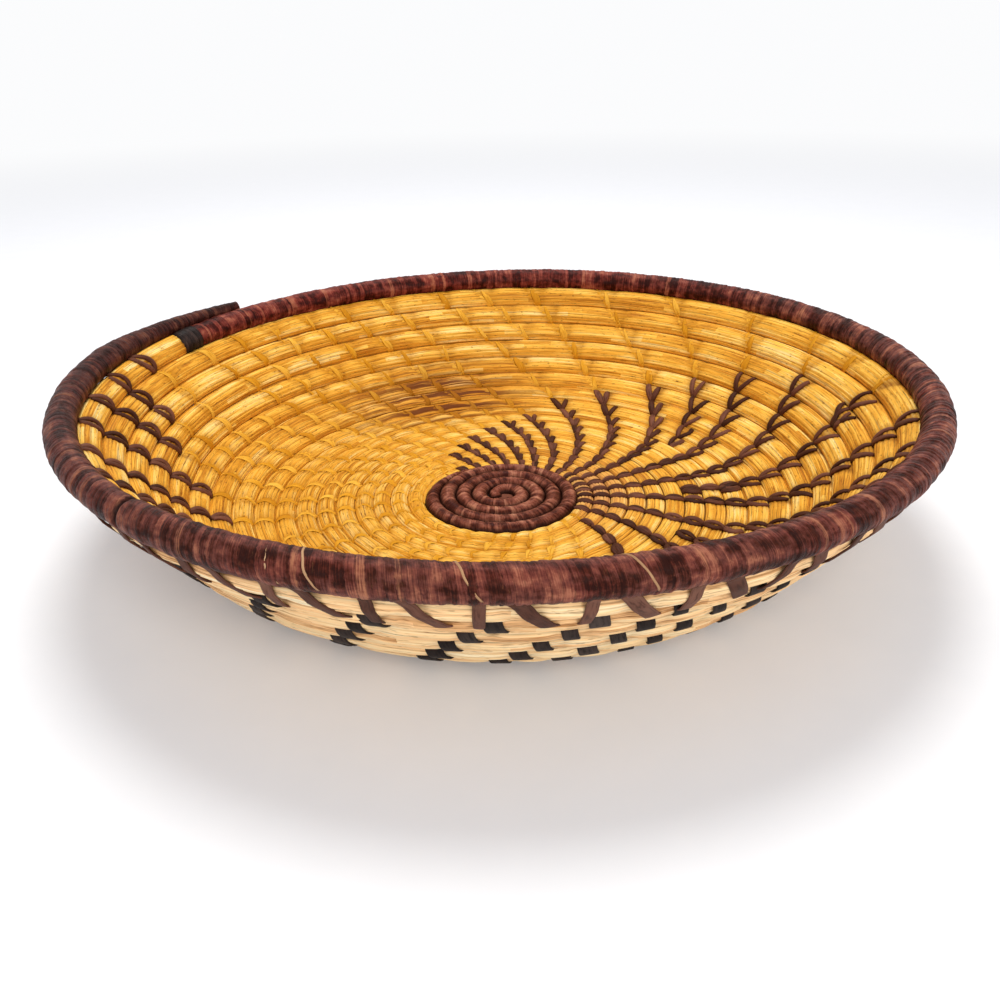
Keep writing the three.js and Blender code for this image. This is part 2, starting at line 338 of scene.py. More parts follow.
# %% The swirl
FIRST_EDGE_ROWS = [0, 1, 2, 3, 4, 5, 7, 9, 10, 11, 13, 17]
FIRST_EDGE = [132, 125, 117, 116, 104, 92, 86, 75, 64, 57, 36, -14]
LAST_EDGE_ROWS = [0, 4, 8, 11.5, 17]
LAST_EDGE = [-31, -52, -151, -174, -193]


def in_swirl(turn, azimuth):
    row = turn - CENTRE_END
    first = np.interp(row, FIRST_EDGE_ROWS, FIRST_EDGE)
    last = np.interp(row, LAST_EDGE_ROWS, LAST_EDGE)
    return (first - np.degrees(azimuth)) % 360 < first - last


stitch_azimuth = azimuth_at(stitch_turn)
stitch_dark = in_swirl(stitch_turn - 0.5, stitch_azimuth)
print(int(stitch_dark.sum()), "of them dark")


# %% [markdown]
# ## The bare rows
#
# A row is a handful of stems, about a millimetre thick each. The stitches draw it in, so it
# swells between them like a string of small pillows. The ring of the mesh is a rounded oblong
# with one ridge for each stem. It gets lower where a chain crosses it, and the ridges wander, so
# that stems seem to come and go. The CAD bowl has this length of coil in three nodes, and each
# gets its own mesh, with its ends on the same places. The places of the stain, which is partly
# painted shade, of a patch of painted shade on the left of the floor, of dirt and painted shade
# between dark arms and of the dark net of stitches are kept at each point too, for the finish.

# %% The section of a row
ROW_SQUARENESS = 2.35
DRAWN_IN = 0.26
DRAWN_OUTSIDE = 0.4
STEMS_ROUND = 15
POINTS_PER_STEM = 4
BEND_START = 12 + 1 / 12
WALL_START = 17 + 13 / 24
DISC_TAIL_START, DISC_TAIL_END = CENTRE_END - 0.1, CENTRE_END + 0.11
TAIL_LEAST = 0.18


def half_sizes(turn):
    return (row_pitch(turn) + ROW_OVERLAP) / 2, row_height(turn) / 2


def outer_bulge(turn):
    """How much thicker the wall's rows are towards the outside, in millimetres."""
    return OUTER_BULGE * np.sqrt(profile(reach(turn))[2] / WALL_ANGLE)


def disc_tail(turn):
    """How much of a row's width the tapering end of the disc's winding still takes."""
    left = np.clip((DISC_TAIL_END - turn) / (DISC_TAIL_END - DISC_TAIL_START), 0, 1)
    return (TAIL_LEAST + (1 - TAIL_LEAST) * left**0.8) * (left > 0)


# %% How the two arms of a stitch part
LEFT_WALL = (140, 262)
OPENING_ROWS, OPENING_SHARES = [0, 4, 9], [0.22, 0.25, 0.36]
OPENING_ON_LEFT = 0.56
BOW_ON_LEFT, BOW_ELSEWHERE = 3.3, 0.5
BEHIND_AZIMUTH, BEHIND_SPREAD = 78, 42


def arm_side(azimuth):
    """1 where the second arm opens with the clock, -1 on the left wall, where it opens against it."""
    turned = np.degrees(azimuth) % 360
    return np.where((turned > LEFT_WALL[0]) & (turned < LEFT_WALL[1]), -1.0, 1.0)


def arm_opening(turn):
    """How far the two arms of a split stitch come apart, in millimetres."""
    narrow = np.where(arm_side(azimuth_at(turn)) < 0, OPENING_ON_LEFT, 1.0)
    return np.interp(turn - CENTRE_END, OPENING_ROWS, OPENING_SHARES) * narrow * chain_room(turn)


def arm_spread(turn, share):
    """How far the second arm has left the first, across a row: it comes back, or stays open."""
    azimuth = np.degrees(azimuth_at(turn)) % 360
    almond = 1.05 * np.sin(0.93 * math.pi * share)
    spread = share**0.85 + 0.1 * np.sin(math.pi * share)
    behind = np.clip(1.5 * bell(azimuth - BEHIND_AZIMUTH, BEHIND_SPREAD), 0, 1)
    open_end = np.maximum(np.clip((turn - CENTRE_END - 8) / 3, 0, 1), behind)
    open_end = open_end * (arm_side(azimuth_at(turn)) > 0)
    return almond + (spread - almond) * open_end


def arm_bow(turn, share):
    """How far the first arm bows aside of its chain, in millimetres: most on the left wall."""
    bow = np.where(arm_side(azimuth_at(turn)) < 0, BOW_ON_LEFT, BOW_ELSEWHERE)
    return bow * np.sin(math.pi * share)


# %% How the stitches draw the grass in
FAR_AWAY = 9.0
PINCH_SHARE, PINCH_LEAST, PINCH_MOST = 0.15, 1.0, 2.3


def drawn_in(turn, along):
    """0 on the crown between stitches, 1 under a stitch."""
    share = along / row_pitch(turn) + 0.5
    offset = azimuth_at(turn)[..., None] - chain_azimuths(turn + share - 0.5)
    offset = (offset + math.pi) % (2 * math.pi) - math.pi
    place = (turn + share - 0.5)[..., None]
    sewn = np.isfinite(offset) & (place > chain_first) & (place < chain_last)
    distance = np.where(sewn, offset, FAR_AWAY) * radius_at(turn)[..., None]
    side = arm_side(azimuth_at(turn))[..., None]
    distance = distance - side * arm_bow(turn, np.clip(share, 0, 1))[..., None]
    opened = (arm_spread(turn, np.clip(share, 0, 1)) * arm_opening(turn))[..., None]
    behind = -distance * side
    outside = np.maximum(-behind, 0) + np.maximum(behind - opened, 0)
    soft = np.clip(PINCH_SHARE * chain_room(turn), PINCH_LEAST, PINCH_MOST)[..., None]
    pinch = np.exp(-((outside / soft) ** 1.5))
    inner = np.clip(behind / np.maximum(opened, 0.1), 0, 1)
    return (pinch * (1 - 2.4 * np.clip(share, 0, 1)[..., None] * inner * (1 - inner))).max(-1)


# %% Slow noise, and even steps along the coil
# Added to lengths, so that no two coils or strips show the same noise
COIL_APART, STRIP_APART = 5000, 37.0


def smooth_noise(count, knots):
    """A slow random curve between -1 and 1."""
    values = rng.uniform(-1, 1, knots + 3)
    at = np.linspace(0, knots, count)
    low = at.astype(int)
    part = at - low
    part = part * part * (3 - 2 * part)
    return values[low] * (1 - part) + values[low + 1] * part


def stem_noise(stations, spread):
    """One slow random curve for each stem, changing about every so many stations."""
    return np.stack([smooth_noise(stations, stations // spread) for _ in range(STEMS_ROUND)], -1)


def reach_along(first_turn, last_turn, stations):
    """Turns at even steps of length along the coil, and that length in millimetres, as columns."""
    fine = np.linspace(first_turn, last_turn, 4000)
    step = 2 * math.pi * radius_at((fine[1:] + fine[:-1]) / 2) * np.diff(fine)
    total = np.concatenate([[0], np.cumsum(step)])
    at = np.linspace(0, total[-1], stations)[:, None]
    return np.interp(at, total, fine), at + COIL_APART * round(first_turn)


# %% Patches of another colour and of painted shade, by azimuth, spread in degrees, row and spread in rows
# The stain in the hollow at the back is partly a real stain and partly painted shade
STAIN_AND_SHADE = (109, 22, 9.9, 2.0)
BLUSH = (5, 32, 1.0, 2.0)
NET = (2, 44, 3.5, 4.5)
# A darker patch on the left of the bowl's floor: painted shade
LEFT_FLOOR_SHADE = (188, 48, 6.0, 5.5)


def patch_at(turn, azimuth, place):
    """1 in the middle of a soft patch, which fades away from it."""
    middle, spread, row, rows = place
    aside = (np.degrees(azimuth) - middle + 180) % 360 - 180
    return bell(aside, spread) * bell(turn - CENTRE_END - row, rows)


# Stain and painted shade of the hollow at the back, from 0 to 1
def stain_and_shade_at(turn, azimuth):
    return np.clip(1.5 * patch_at(turn, azimuth, STAIN_AND_SHADE), 0, 1)


# %% A length of bare rows
STEM_UNEVEN = 0.35
STEM_RIDGE, STEM_SWELL, STEM_SUNK = 0.3, 0.1, 0.2
STEM_WANDERS, STEM_SWELLS = 45, 9


def straw_rows(name, node, first_turn, last_turn, stations=1560):
    turn, length = reach_along(first_turn, last_turn, stations)
    widths = 1 + STEM_UNEVEN * stem_noise(stations, STEM_WANDERS)
    edges = np.cumsum(np.pad(widths, ((0, 0), (1, 0))), 1)
    number = np.arange(STEMS_ROUND * POINTS_PER_STEM) / POINTS_PER_STEM
    stem, part = number.astype(int), number % 1
    place = edges[:, stem] * (1 - part) + edges[:, stem + 1] * part
    angle = 2 * math.pi * place / edges[:, -1:]
    half_width, half_height = half_sizes(turn)
    # Beside the disc's tapering end the row is narrower and lower, and lies further out
    free = 1 - disc_tail(turn)
    settle = half_width * (1 - free)
    half_width = half_width * np.maximum(free + 0.06 * (free < 1), 0.1)
    half_height = half_height * (0.55 + 0.45 * free)
    across, high = oblong(angle, ROW_SQUARENESS)
    along = half_width * across
    inside = (half_height + outer_bulge(turn) * (high < 0)) * high
    depth = drawn_in(turn + 0 * along, along)
    swell = stem_noise(stations, STEM_SWELLS)
    ridge = np.abs(np.sin(math.pi * number)) ** 0.55
    grow = STEM_RIDGE * ridge + STEM_SWELL * swell[:, stem] - STEM_SUNK
    pulled = DRAWN_IN * depth * np.where(inside < 0, DRAWN_OUTSIDE, 1)
    inside = inside * (1 - pulled) * (1 + grow / half_height)
    along = along * (1 - 0.03 * depth) * (1 + 0.4 * grow / half_width)
    rings = on_coil(turn, along + settle, inside)
    azimuth = azimuth_at(turn)
    dark = in_swirl(turn - 0.5, azimuth)
    # Between the arms of the dark stitches the grass gets dirt and painted shade
    piece = swept(
        name, rings[None], (length, number, np.sin(angle)), drawn_in=depth, ridge=ridge,
        dirt=depth * dark * (inside > 0), swirl=dark * np.clip((11 - turn + CENTRE_END) / 4, 0, 1),
        stain=stain_and_shade_at(turn, azimuth), blush=patch_at(turn, azimuth, BLUSH),
        net=dark * patch_at(turn, azimuth, NET), worn=patch_at(turn, azimuth, LEFT_FLOOR_SHADE))
    return put_in_place(piece, "straw", node)


# %% Make the three lengths of bare rows
base_rows = straw_rows("base_rows", "base_coil", CENTRE_END - 0.08, BEND_START)
bend_rows = straw_rows("bend_rows", "bend_coil", BEND_START, WALL_START)
wall_rows = straw_rows("wall_rows", "wall_coil", WALL_START, RIM_START)

# %% [markdown]
# ## Split stitches inside
#
# Seen from inside, each stitch is a strip that the next row's stitch has split, so it shows as
# two arms that open like a V. One arm runs on to the next stitch of its chain, the other bends
# away and ends at the edge of the row. An arm is a narrow strip with a round back. Its path
# follows the section of the row, dips into the groove at both ends, and stays on the grass.


# %% A strip laid over a row
def strip_rings(middle, outward, half_width, half_thick, round_points=8, squareness=2.0):
    """Rings of strips, from their middle lines, arrays of (strips, stations, 3)."""
    ahead = np.gradient(middle, axis=1)
    ahead /= np.linalg.norm(ahead, axis=-1, keepdims=True)
    outward = outward - (outward * ahead).sum(-1, keepdims=True) * ahead
    outward /= np.linalg.norm(outward, axis=-1, keepdims=True)
    side = np.cross(ahead, outward)
    across, high = oblong(np.linspace(0, 2 * math.pi, round_points, endpoint=False)[:, None], squareness)
    across, high = across * half_width[..., None, None], high * half_thick[..., None, None]
    rings = middle[:, :, None] + side[:, :, None] * across + outward[:, :, None] * high
    rings[..., 2] = np.maximum(rings[..., 2], LOWEST_POINT)
    return rings


def laid_strip(turn, along, lift, half_width, half_thick, depth, **section):
    """Strips on the face of a row: inside the bowl where lift is positive, outside where negative."""
    half, tall = half_sizes(turn)
    tall = np.where(lift < 0, tall + outer_bulge(turn), tall) * (1 - DRAWN_IN * depth)
    share = np.clip(np.abs(along) / half, 0, 0.999)
    face = tall * (1 - share**ROW_SQUARENESS) ** (1 / ROW_SQUARENESS)
    face = np.maximum(face, 0.3 * tall)
    middle = on_coil(turn, along, np.sign(lift) * (face + np.abs(lift)))
    climb, inward = directions(turn)
    lean = np.sign(along) * share ** (ROW_SQUARENESS - 1) * 0.9
    outward = (np.sign(lift) + 0 * along)[..., None] * inward + lean[..., None] * climb
    return strip_rings(middle, outward, half_width, half_thick, **section)


def swept_strips(name, bodies, tone, **values):
    """Strips whose coil places are the length along each and round it."""
    step = np.linalg.norm(np.diff(bodies.mean(2), axis=1), axis=-1)
    length = np.cumsum(np.pad(step, ((0, 0), (1, 0))), 1) + STRIP_APART * np.arange(len(bodies))[:, None]
    coil = (length[..., None], np.linspace(0, 5.0, bodies.shape[2]), 0.0)
    return swept(name, bodies, coil, tone=tone[:, None, None], **values)


# %% Both arms of every stitch
arm_stations = np.linspace(0, 1, 11)
SHORT_ARM_LENGTHS = (0.86, 1.0)
OPENING_VARIES = (0.75, 1.2)
ARM_REACH = 1.06


def stitch_arms(turn, chain, width, thick, raised, opening, fading, uneven):
    at = np.arange(len(turn))
    start = chain_azimuths(turn - 0.5)[at, chain]
    share = arm_stations[None] + 0 * turn[:, None]
    long_arm = np.stack([chain_azimuths(turn - 0.5 + s)[at, chain] for s in arm_stations], 1)
    side = arm_side(start)[:, None]
    radius = radius_at(turn)[:, None]
    long_arm = long_arm + side * arm_bow(turn[:, None], share) / radius
    short_share = share * rng.uniform(*SHORT_ARM_LENGTHS, len(turn))[:, None]
    open_by = opening * arm_opening(turn)[:, None] * rng.uniform(*OPENING_VARIES, len(turn))[:, None]
    curl = arm_spread(turn[:, None], short_share)
    on_chain = np.stack([np.interp(short_share[k], arm_stations, long_arm[k]) for k in at])
    short_arm = on_chain - side * open_by * curl / radius
    bodies = []
    for azimuth, reach_share in ((long_arm, share), (short_arm, short_share)):
        moved = turn[:, None] - (azimuth - start[:, None]) / (2 * math.pi)
        along = (reach_share - 0.5) * ARM_REACH * row_pitch(moved)
        taper = 0.66 + 0.34 * np.sin(math.pi * np.clip(share * 0.86 + 0.08, 0, 1)) - fading * share**2
        stout = rng.uniform(1 - uneven, 1 + uneven, len(turn))[:, None]
        grown = np.interp(turn - CENTRE_END, [0, 10], [0.86, 1.0])[:, None]
        wide, high = width * taper * stout * grown, thick * taper * grown
        depth = drawn_in(moved, along)
        bodies.append(laid_strip(moved, along, raised * grown, wide, high, depth))
    return np.concatenate(bodies)


# %% Dark and natural stitches
def add_stitches(name, chosen, slot, **strip):
    bodies = stitch_arms(stitch_turn[chosen], stitch_chain[chosen], **strip)
    stain = np.tile(stain_and_shade_at(stitch_turn[chosen], stitch_azimuth[chosen]), 2)[:, None, None]
    return put_in_place(swept_strips(name, bodies, rng.uniform(0, 1, len(bodies)), stain=stain), slot)


dark_stitches = add_stitches(
    "dark_split_stitches", stitch_dark, "centre_strip",
    width=1.35, thick=0.62, raised=0.42, opening=1.0, fading=0.0, uneven=0.15)
natural_stitches = add_stitches(
    "natural_split_stitches", ~stitch_dark, "straw",
    width=1.5, thick=0.1, raised=0.03, opening=0.4, fading=0.45, uneven=0.45)

# %% [markdown]
# ## Stitches outside
#
# On the outside the same stitch isn't split. It is a flat strip, one row high, with its ends on
# the grooves, and its slant makes it a leaning oblong. Chains of them step up the wall like a
# stair. They are laid with the same function, on the other face of the row.


# %% Flat stitches on the outer face
FLAT_LIFT, FLAT_THICK = -0.55, 0.3
FLAT_SHARE, FLAT_WIDEST = 0.2, 2.4
FLAT_LEAN_START, FLAT_LEAN = 1.2, 2.5
FLAT_REACH = 0.96


def outer_stitches(name, chosen, slot):
    chosen = chosen & (stitch_turn < RIM_START - 1.02)
    turn = stitch_turn[chosen][:, None]
    count = len(turn)
    share = np.linspace(0, 1, 9)[None] + 0 * turn
    slant = (FLAT_LEAN_START - FLAT_LEAN * share) * rng.uniform(0.7, 1.2, count)[:, None] / radius_at(turn)
    moved = turn - slant / (2 * math.pi)
    along = (share - 0.5) * FLAT_REACH * row_pitch(moved)
    half = np.minimum(chain_room(turn) * FLAT_SHARE, FLAT_WIDEST) * rng.uniform(0.8, 1.15, count)[:, None]
    rings = laid_strip(moved, along, FLAT_LIFT, half, np.array(FLAT_THICK), DRAWN_OUTSIDE,
                       round_points=12, squareness=5.0)
    return put_in_place(swept_strips(name, rings, rng.uniform(0, 1, count)), slot)


black_stitches = outer_stitches("outer_black_stitches", stitch_dark, "splice_strip")
pale_stitches = outer_stitches("outer_natural_stitches", ~stitch_dark, "straw")

# %% [markdown]
# ## Wound strips
#
# The start disc and the rim are wound closely with strips of dark bast. Each turn of the strip
# lies a little over the one before, so the surface has a small step from turn to turn. The
# mesh has a ring at least every half millimetre. Each point knows which turn of the strip it
# is on, which raises its middle, lowers its edges and gives the whole turn its own tone.

# %% The rim's seam, and the edges of the turns of a strip
SEAM_TURN = RIM_START + 0.8065
SEAM_LINE, SEAM_NOTCH = 1.3, 0.9


def seam_at(turn, width):
    """1 on the seam, where one strip of the rim ends and the next starts. The width is in mm."""
    return bell((turn - SEAM_TURN) * rim_length, width)


# %% A coil wound with a strip
def wound_coil(name, first_turn, last_turn, stations, sizes, points=40, *, widths, slant=0.0, lean=0.0,
               crown, step, uneven, squareness):
    """sizes(turn) gives half the width, half the height, how far it settles and its lift height."""
    turn, length = reach_along(first_turn, last_turn, stations)
    half_width, half_height, settle, lift = sizes(turn)
    # A ring starts at the coil's outer flank, where the jump of its numbers is hidden
    angle = math.pi + np.linspace(0, 2 * math.pi, points, endpoint=False)
    round_place = 2.9 * (half_width + half_height) * (angle / (2 * math.pi) - 0.5)
    at = length - length[0] + slant * np.cos(angle) * half_width - lean * np.sin(angle + 0.6) + 10
    edges = [0.0]
    while edges[-1] < length[-1] - length[0] + 40:
        edges.append(edges[-1] + rng.uniform(*widths))
    edges = np.array(edges)
    index = np.searchsorted(edges, at)
    low, high = edges[index - 1], edges[np.minimum(index, len(edges) - 1)]
    part = (at - low) / (high - low)
    tones = rng.uniform(0, 1, len(edges) + 1)
    lifts = rng.uniform(-0.5, 1, len(edges) + 1)
    grow = (0.2 - np.abs(2 * part - 1) ** 5) * crown + (part - 0.5) * step + lifts[index] * uneven
    across, up = oblong(angle, squareness)
    rings = on_coil(turn, across * (half_width + grow) - settle, up * (half_height + grow), lift)
    edge = np.maximum(np.abs(2 * part - 1), 2 * seam_at(turn, SEAM_LINE))
    return swept(name, rings[None], (at, round_place, np.sin(angle)), tone=tones[index], edge=edge, turn=turn)


# %% The start disc
def disc_sizes(turn):
    young = np.clip((turn - FIRST_TURN) / 0.3, 0, 1)
    size = 0.66 + 0.34 * young
    tail = disc_tail(turn)
    half_width = (row_pitch(turn) + 0.14) / 2 * size * tail
    settle = (row_pitch(turn) - 0.1) / 2 * (1 - tail)
    half_height = CENTRE_HEIGHT / 2 * size * (0.5 + 0.5 * tail)
    return half_width, half_height, settle, CENTRE_HEIGHT - 0.8 * (1 - tail)


disc_strip = dict(widths=(1.0, 2.1), slant=0.25, crown=0.24, step=0.16, uneven=0.12, squareness=1.75)
disc_winding = wound_coil(
    "disc_winding", FIRST_TURN + 0.01, DISC_TAIL_END - 0.001, 1180, disc_sizes, **disc_strip)
put_in_place(disc_winding, "centre_strip", "centre_wrap")

# %% [markdown]
# ## The middle of the disc
#
# The maker starts by curling a wound end, and tucks the strip's ends down across the middle. The
# curl is a short, thin coil of the same kind. The tucked ends are five low strips that lie side
# by side under it and close the hole.

# %% The curl that the disc starts from
def curl_sizes(turn):
    grown = np.clip(turn / FIRST_TURN, 0, 1)
    return 1.0 + 0.4 * grown, 1.3 + 0.3 * grown, -0.5 + 0 * turn, 3.2 + 0 * turn


start_curl = wound_coil("start_curl", 0.04, FIRST_TURN + 0.06, 70, curl_sizes, 20, **disc_strip)
put_in_place(start_curl, "centre_strip")

# %% The strip's ends, tucked down across the middle
TUCKED_PLACES = np.array([-3.4, -1.8, -0.2, 1.4, 3.0])[:, None, None]
TUCKED_LEAN = np.array([0.06, -0.05, 0.04, -0.06, 0.05])[:, None, None]
TUCKED_HALF_LENGTH, TUCKED_HALF_WIDTH, TUCKED_HALF_THICK = 5.8, 0.95, 0.45
TUCKED_HEIGHT, TUCKED_SAG = 2.5, 0.04
reach_over = np.linspace(-TUCKED_HALF_LENGTH, TUCKED_HALF_LENGTH, 9)[None, :, None]
round_strip = np.linspace(0, 2 * math.pi, 12, endpoint=False)[None, None]
tucked_middle = TUCKED_PLACES + TUCKED_LEAN * reach_over
tucked_side = tucked_middle + TUCKED_HALF_WIDTH * np.cos(round_strip)
tucked_up = TUCKED_HEIGHT - TUCKED_SAG * reach_over**2 + TUCKED_HALF_THICK * np.sin(round_strip)
tucked = np.stack(np.broadcast_arrays(reach_over, tucked_side, tucked_up), -1) + axis_place
tucked_ends = swept_strips("tucked_ends", tucked, rng.uniform(0.3, 1.0, len(tucked)))
put_in_place(tucked_ends, "centre_strip")

# %% The rim
TAIL_TURNS = 0.09
TAIL_SIZE = 0.42
RIM_SQUARENESS = 2.25


def rim_sizes(turn):
    tail = np.clip((RIM_END - turn) / TAIL_TURNS, 0, 1)
    thin = TAIL_SIZE + (1 - TAIL_SIZE) * tail
    width = (row_pitch(turn) - ROW_GAP) * thin
    height = (row_height(turn) + RIM_THICKER) * thin
    settle = (row_pitch(turn) - ROW_GAP - width) / 2
    start = np.clip((turn - RIM_START) / 0.004, 0, 1)
    step = np.where(turn < SEAM_TURN, 1.03, 0.97)
    wave = 0.012 * np.sin(turn * 61) + 0.01 * np.sin(turn * 143 + 1)
    size = (0.86 + 0.14 * start) * (1 - 0.42 * seam_at(turn, SEAM_NOTCH)) * (step + wave)
    return (width / 2 + 0.25) * size, (height / 2 + 0.1) * size, settle, row_height(turn)


BINDING_LENGTH, BINDING_PROUD = 11, 0.25
binding_turns = BINDING_LENGTH / rim_length
rim_winding = wound_coil(
    "rim_winding", RIM_START + binding_turns, RIM_END, 2150, rim_sizes, 44,
    widths=(0.9, 2.6), slant=0.3, lean=1.5, crown=0.2, step=0.14, uneven=0.2, squareness=RIM_SQUARENESS)
put_in_place(rim_winding, "rim_strip", "rim_wrap")

# %% The charcoal binding over the splice
def binding_sizes(turn):
    half_width, half_height, settle, lift = rim_sizes(turn)
    return half_width + BINDING_PROUD, half_height + BINDING_PROUD, settle, lift


splice_winding = wound_coil(
    "splice_winding", RIM_START + 0.0006, RIM_START + binding_turns, 60, binding_sizes, 44,
    widths=(1.8, 2.6), slant=0.1, crown=0.3, step=0.1, uneven=0.1, squareness=RIM_SQUARENESS)
put_in_place(splice_winding, "splice_strip", "rim_splice_binding")

# %% [markdown]
# ## Grass under the windings
#
# The wound strips hide the bundle. It is made all the same, as a thinner coil of stems inside the
# winding, so that the bowl is whole when someone takes a winding off.


# %% Hidden bundles
BUNDLE_STEMS = 10


def bundle(name, first_turn, last_turn, stations, sizes, inset, node):
    turn, length = reach_along(first_turn, last_turn, stations)
    half_width, half_height, settle, lift = sizes(turn)
    number = np.arange(BUNDLE_STEMS * POINTS_PER_STEM) / POINTS_PER_STEM
    angle = 2 * math.pi * number / BUNDLE_STEMS
    ridge = np.abs(np.sin(math.pi * number)) ** 0.6
    grow = 0.25 * ridge - 0.25 - inset
    along = np.cos(angle) * (half_width + grow)
    inside = np.sin(angle) * (half_height + grow)
    rings = on_coil(turn, along - settle, inside, lift)
    piece = swept(name, rings[None], (length, 1.4 * number, np.sin(angle)), drawn_in=0, ridge=ridge)
    return put_in_place(piece, "inner_grass", node)


disc_bundle = bundle("disc_bundle", FIRST_TURN + 0.03, DISC_TAIL_START, 240, disc_sizes, 0.8, "centre_core")
rim_bundle = bundle("rim_bundle", RIM_START, RIM_END, 300, rim_sizes, 2.2, "rim_core")

# %% [markdown]
# ## Long stitches under the rim
#
# The strip that binds the rim also holds it down: at every few turns it passes over the last
# bare row on the outside. Every other one slants. Each is a flat strip whose path starts on the
# rim, crosses the row and turns in at the row's lower edge.

# %% Long stitches
LONG_COUNT = 69
LONG_SLANTS = (-0.52, 0.05)
LONG_REACH = (1.92, 2.12)
LONG_HALF_WIDTHS, SLANTED_WIDER, LONG_HALF_THICK = (1.5, 2.0), 0.4, 0.3
number = np.arange(LONG_COUNT)
rim_turn = RIM_START + (1 + (number + 0.5) / 3) / 24
levels = np.linspace(0, 1, 13)[None]
slant = np.where(number % 2 == 0, *LONG_SLANTS) + rng.uniform(-0.12, 0.12, LONG_COUNT)
down = levels * rng.uniform(*LONG_REACH, LONG_COUNT)[:, None]
base_turn = rim_turn[:, None] + slant[:, None] * (down * last_pitch - 8) / rim_length
row_turn = base_turn - 1
along = (0.93 - down) * row_pitch(row_turn)
# Its path goes from the rim's face to the row's, and turns in at the row's lower edge
tuck = 1 - 0.22 * np.clip(levels - 0.75, 0, 1) / 0.25
row_face = (half_sizes(row_turn)[1] + outer_bulge(row_turn) + 0.15) * np.where(along < 0, tuck, 1)
rim_face = (row_height(base_turn) + RIM_THICKER) / 2 * 0.97
near_rim = np.clip((along / row_pitch(row_turn) - 0.15) / 0.6, 0, 1)
near_rim = near_rim * near_rim * (3 - 2 * near_rim)
middle = on_coil(row_turn, along, -(row_face * (1 - near_rim) + rim_face * near_rim))
half_strip = (rng.uniform(*LONG_HALF_WIDTHS, LONG_COUNT) + SLANTED_WIDER * (number % 2 == 0))[:, None]
half_strip = half_strip * (1 - 0.3 * levels**4)
rings = strip_rings(middle, -directions(row_turn)[1], half_strip, np.array(LONG_HALF_THICK), 10, 4.0)
long_stitches = swept_strips("rim_long_stitches", rings, rng.uniform(0, 1, LONG_COUNT))
put_in_place(long_stitches, "rim_strip")

# %% [markdown]
# ## Pale strips on the rim
#
# A few turns of the rim's strip came from a paler leaf. They are open bands that lie on the
# winding over the top of the rim.

# %% Pale strips
PALE_PLACES = [0.663, 0.705, 0.744, 0.7545]
PALE_WIDTH = 0.6
PALE_UNDER, PALE_OVER = -0.3, 0.12
pale_strips = []
for k, place in enumerate(PALE_PLACES):
    turn = RIM_START + place + np.linspace(-0.5, 0.5, 5)[:, None] * PALE_WIDTH / rim_length
    angle = np.radians(np.linspace(-78, 170, 33))[None]
    half_width, half_height, settle, lift = rim_sizes(turn)
    wave = 0.25 * np.sin(2.2 * angle + k) + 0.08 * np.sin(7 * angle + 2 * k)
    moved = turn + (wave + 2.4 * (angle - 0.4)) / rim_length
    across, up = oblong(angle, RIM_SQUARENESS)
    under, over = (on_coil(moved, (half_width + more) * across - settle, (half_height + more) * up, lift)
                   for more in (PALE_UNDER, PALE_OVER))
    rings = np.concatenate([over, under[::-1]], 0).transpose(1, 0, 2)[None]
    piece = swept_strips(f"pale_strip_{k + 1}", rings, np.array([0.3 + 0.15 * k]))
    pale_strips.append(put_in_place(piece, "pale_strip", f"pale_rim_strip_{k + 1}"))


# %% [markdown]
# ## Shader maths in plain expressions
#
# Finishes are built from nodes. So that they read like sums, a small class holds one output of a
# node, and plus, minus, times, over, abs and floor on it add Math nodes. Every other node comes
# from one method, which takes its type, its settings and what goes into its sockets.

# %% A finish and its values
class Value:
    """One output of a node."""

    def __init__(self, finish, socket):
        self.finish, self.socket = finish, socket

    def _sum(self, operation, first, second):
        return self.finish.node("Math", {"operation": operation}, {0: first, 1: second})

    def __add__(self, other): return self._sum("ADD", self, other)
    def __radd__(self, other): return self._sum("ADD", other, self)
    def __sub__(self, other): return self._sum("SUBTRACT", self, other)
    def __rsub__(self, other): return self._sum("SUBTRACT", other, self)
    def __mul__(self, other): return self._sum("MULTIPLY", self, other)
    def __rmul__(self, other): return self._sum("MULTIPLY", other, self)
    def __truediv__(self, other): return self._sum("DIVIDE", self, other)
    def __rtruediv__(self, other): return self._sum("DIVIDE", other, self)
    def __abs__(self): return self._sum("ABSOLUTE", self, 0.5)
    def __floor__(self): return self._sum("FLOOR", self, 0.5)

    def range(self, low, high, to_low=0.0, to_high=1.0):
        """Goes smoothly from to_low to to_high while this goes from low to high."""
        return self.finish.node("MapRange", {"interpolation_type": "SMOOTHSTEP"},
                                {"Value": self, 1: low, 2: high, 3: to_low, 4: to_high})

    def under(self, *coats):
        """This colour with others over it, each with its amount."""
        colour = self
        for amount, over in coats:
            colour = self.finish.mix(amount, colour, over)
        return colour


